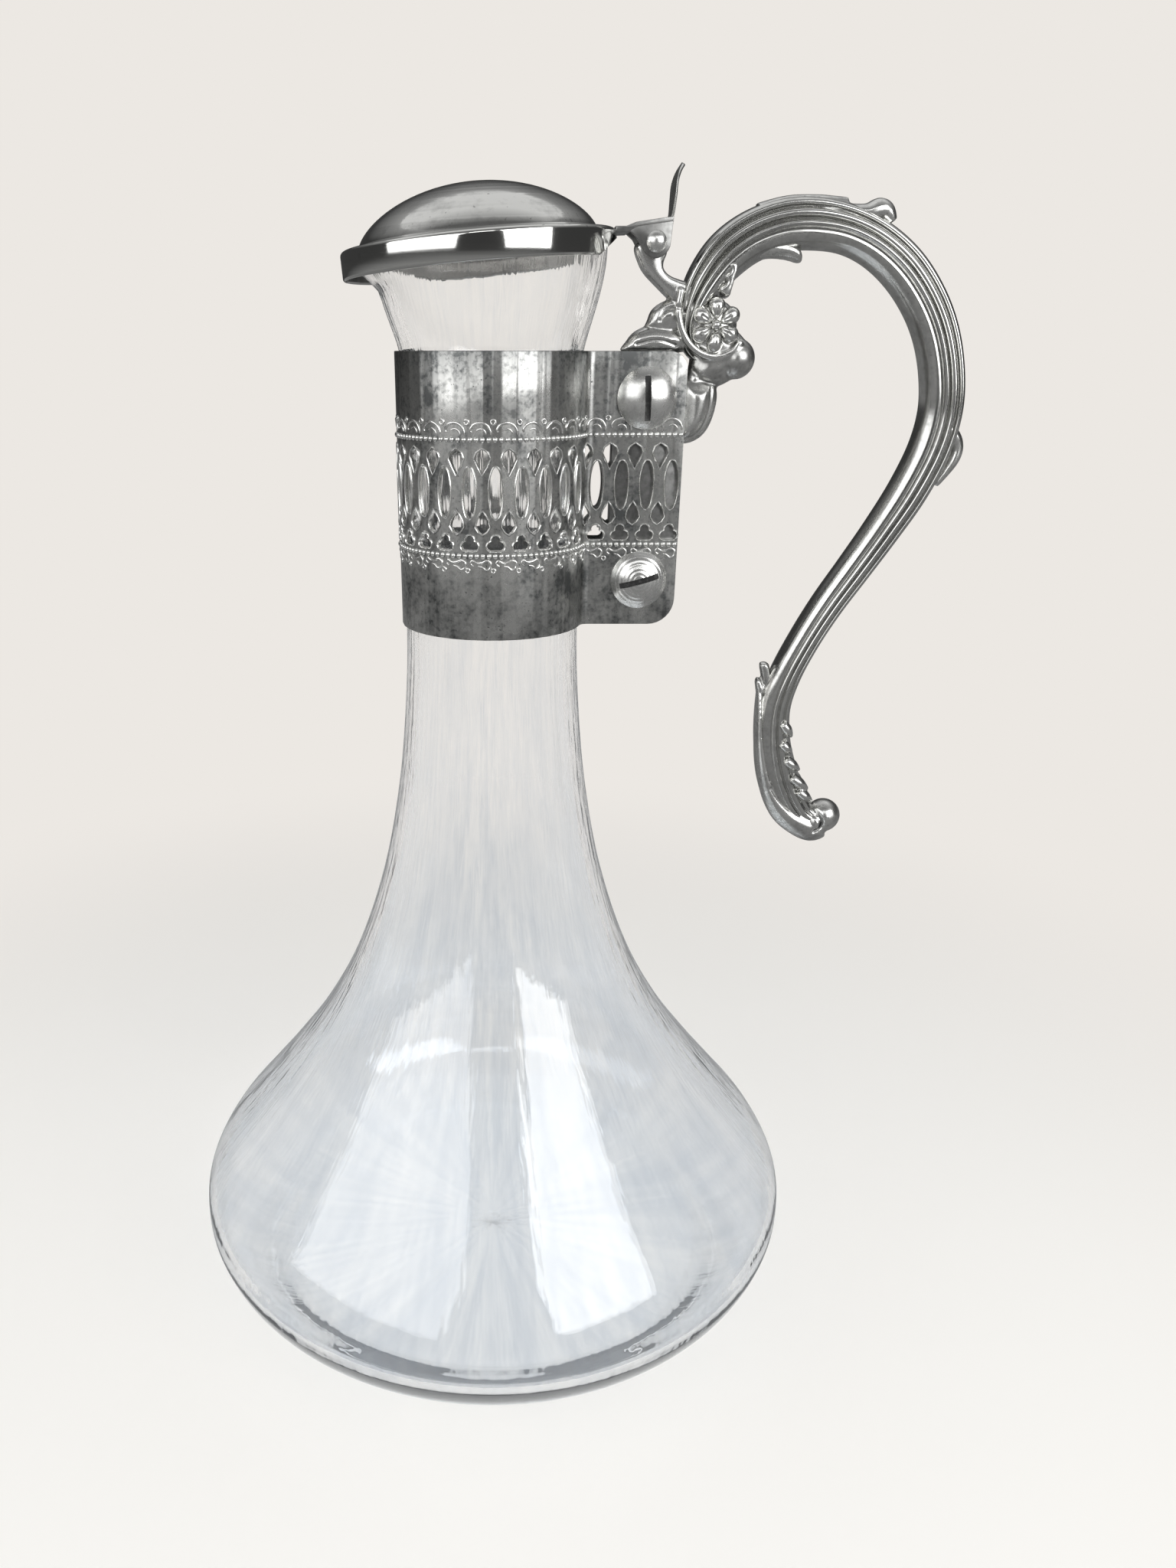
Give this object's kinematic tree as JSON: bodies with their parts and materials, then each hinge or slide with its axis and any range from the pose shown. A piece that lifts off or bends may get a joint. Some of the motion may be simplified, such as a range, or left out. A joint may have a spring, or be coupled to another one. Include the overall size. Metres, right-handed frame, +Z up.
{
  "type": "claret jug",
  "caption": "Squat glass claret jug with a long neck, pierced clamp collar, cast scroll handle and a domed lid on a riveted hinge with a thumbpiece.",
  "frame": {"origin": "centre of the flat base of the glass, on the surface that the jug stands on", "axes": "+Z up along the neck, +X towards the handle and the hinge, Y across the handle along the hinge pin"},
  "size_m": [0.1869, 0.163, 0.2803],
  "materials": {
    "glass": "clear blown glass with a faint cool tint",
    "collar_silver": "tarnished silver plate, brushed upright, worn",
    "cast_silver": "cast and polished silver plate, dark in the hollows",
    "lid_silver": "spun and polished silver plate with a worn, frosted patch",
    "bright_silver": "bright turned metal"
  },
  "bodies": {
    "jug": {"glass_body": "glass", "glass_neck": "glass", "neck_collar": "collar_silver", "scroll_handle": "cast_silver", "upper_screw": "bright_silver", "lower_screw": "bright_silver", "upper_nut": "bright_silver", "lower_nut": "bright_silver"},
    "lid": {"lid_dome": "lid_silver", "lid_rim": "lid_silver", "hinge_strap": "lid_silver", "thumbpiece": "lid_silver", "hinge_pin": "bright_silver"}
  },
  "joints": [
    {"name": "lid_hinge", "type": "hinge", "parent": "jug", "child": "lid", "pos_m": [0.0346, 0, 0.2657], "axis": [0, 1, 0], "range_deg": [0, 44]}
  ]
}
